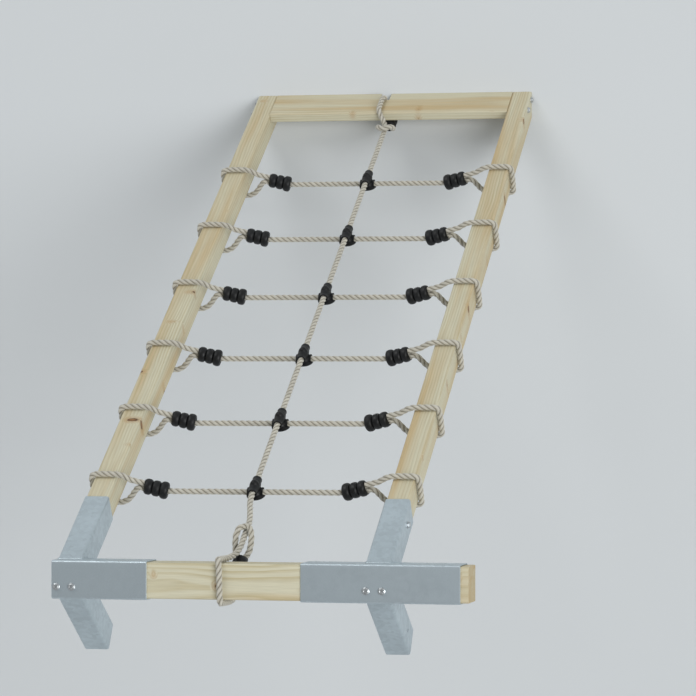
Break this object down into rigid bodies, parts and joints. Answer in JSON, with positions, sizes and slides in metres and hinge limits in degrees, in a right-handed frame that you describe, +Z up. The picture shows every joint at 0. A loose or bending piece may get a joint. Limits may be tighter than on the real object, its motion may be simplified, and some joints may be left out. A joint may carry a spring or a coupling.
{
  "type": "cargo climbing net",
  "caption": "Leaning rope climbing net on pine rails and a swing beam, with steel apex brackets, moulded cross connectors, ribbed clamps and rope loops round the rails.",
  "frame": {"origin": "Middle of the bottom board's ground face, on the ground, midway between the two side rails.", "axes": "+Z up. +Y is the way that the climber faces, from the net's foot towards the beam. +X is the climber's right."},
  "size_m": [1.074, 1.5544, 2.1343],
  "materials": {
    "pine": "planed pine, rounded edges, pale with small knots",
    "zinc_steel": "welded sheet steel, hot-dip galvanised, dull",
    "zinc_screw": "bright zinc plated screws",
    "rope": "three-strand laid rope, light grey beige hemp look",
    "black_plastic": "moulded black plastic, satin"
  },
  "bodies": {
    "frame": {"right_rail": "pine", "left_rail": "pine", "bottom_board": "pine", "right_leg_screw": "zinc_screw", "left_leg_screw": "zinc_screw", "right_board_screw_1": "zinc_screw", "right_board_screw_2": "zinc_screw", "left_board_screw_1": "zinc_screw", "left_board_screw_2": "zinc_screw", "right_clamp_1": "black_plastic", "left_clamp_1": "black_plastic", "right_clamp_2": "black_plastic", "left_clamp_2": "black_plastic", "right_clamp_3": "black_plastic", "left_clamp_3": "black_plastic", "right_clamp_4": "black_plastic", "left_clamp_4": "black_plastic", "right_clamp_5": "black_plastic", "left_clamp_5": "black_plastic", "right_clamp_6": "black_plastic", "left_clamp_6": "black_plastic", "right_loop_1": "rope", "left_loop_1": "rope", "right_loop_2": "rope", "left_loop_2": "rope", "right_loop_3": "rope", "left_loop_3": "rope", "right_loop_4": "rope", "left_loop_4": "rope", "right_loop_5": "rope", "left_loop_5": "rope", "right_loop_6": "rope", "left_loop_6": "rope", "bottom_ferrule": "black_plastic", "bottom_eye": "rope", "bottom_hitch_rope": "rope", "top_ferrule": "black_plastic", "top_eye": "rope", "top_hitch_rope": "rope", "top_beam": "pine", "right_bracket": "zinc_steel", "left_bracket": "zinc_steel", "right_beam_screw_1": "zinc_screw", "right_beam_screw_2": "zinc_screw", "left_beam_screw_1": "zinc_screw", "left_beam_screw_2": "zinc_screw"},
    "net": {"cross_connector_1": "black_plastic", "cross_connector_2": "black_plastic", "cross_connector_3": "black_plastic", "cross_connector_4": "black_plastic", "cross_connector_5": "black_plastic", "cross_connector_6": "black_plastic", "rung_rope_1": "rope", "rung_rope_2": "rope", "rung_rope_3": "rope", "rung_rope_4": "rope", "rung_rope_5": "rope", "rung_rope_6": "rope", "centre_rope": "rope"}
  },
  "joints": [
    {"name": "net_give", "type": "slide", "parent": "frame", "child": "net", "axis": [0, 0.8443, -0.5358], "range_m": [-0.03, 0.08], "stiffness_N_per_m": 3750}
  ]
}
